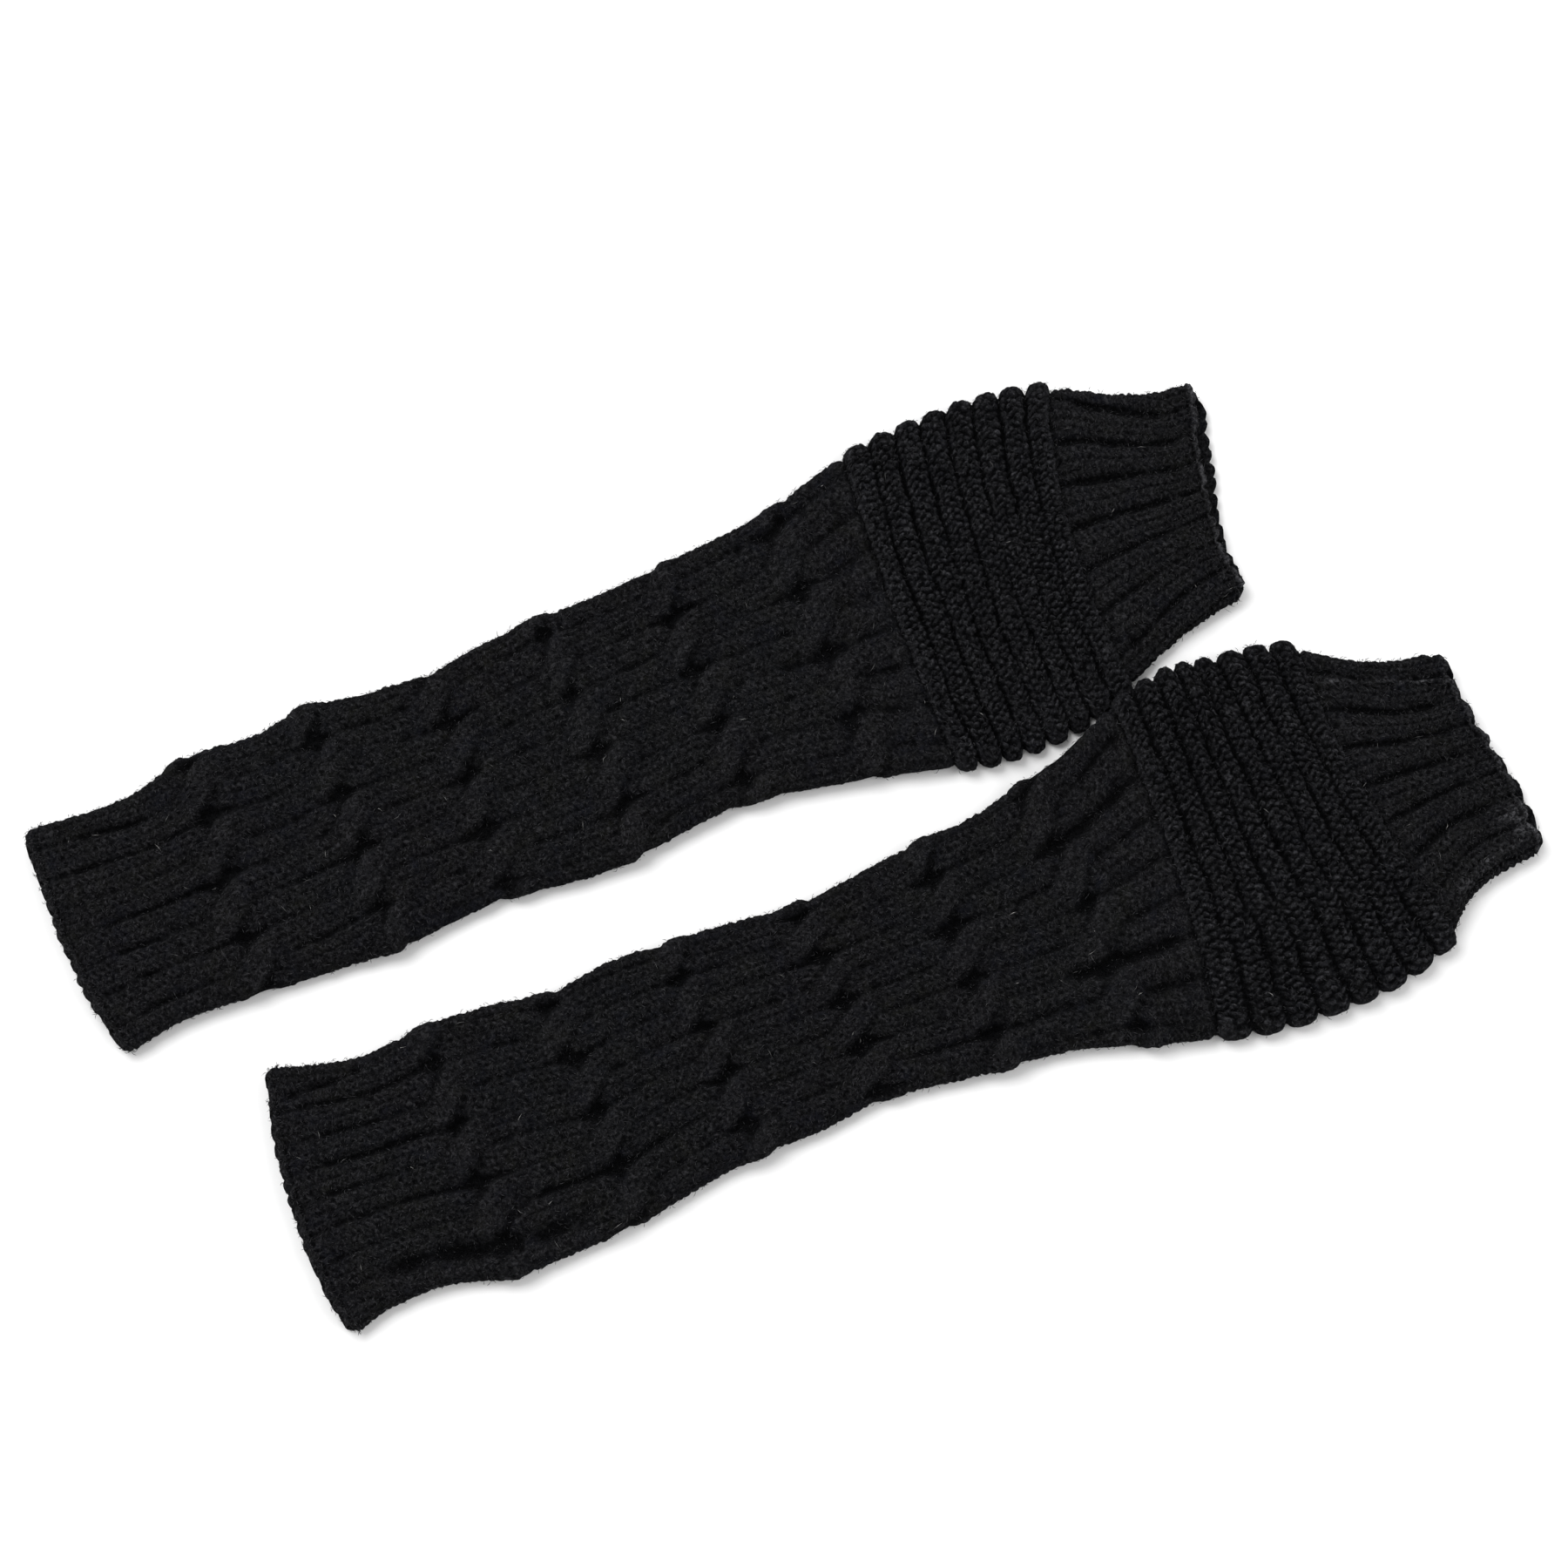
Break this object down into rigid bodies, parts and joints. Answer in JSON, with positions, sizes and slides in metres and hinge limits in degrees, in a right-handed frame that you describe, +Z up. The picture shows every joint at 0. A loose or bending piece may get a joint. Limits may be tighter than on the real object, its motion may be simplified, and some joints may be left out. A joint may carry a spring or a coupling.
{
  "type": "pair of arm warmers",
  "caption": "Black cable-knit arm warmers laid flat: ribbed, crossed-cable arm tubes, welted hand bands and short ribbed finger cuffs.",
  "frame": {"origin": "centre of the pair's footprint, at the height of the surface that it lies on", "axes": "+X along the warmers from the elbow edges to the finger edges, +Y from the near warmer to the far one, +Z up off the surface"},
  "size_m": [0.4426, 0.2372, 0.0173],
  "materials": {
    "cable_knit": "matt black wool-blend yarn, worked as two-wale ribs that cross as cables, with a short soft nap",
    "welt_knit": "matt black wool-blend yarn, worked as raised welts of purl stitches round the hand",
    "rib_knit": "matt black wool-blend yarn, worked as a two-wale rib with a bumpy cast-off edge"
  },
  "bodies": {
    "root": {"far_arm_tube": "cable_knit", "far_hand_band": "welt_knit", "far_finger_cuff": "rib_knit", "near_arm_tube": "cable_knit", "near_hand_band": "welt_knit", "near_finger_cuff": "rib_knit"}
  },
  "joints": []
}
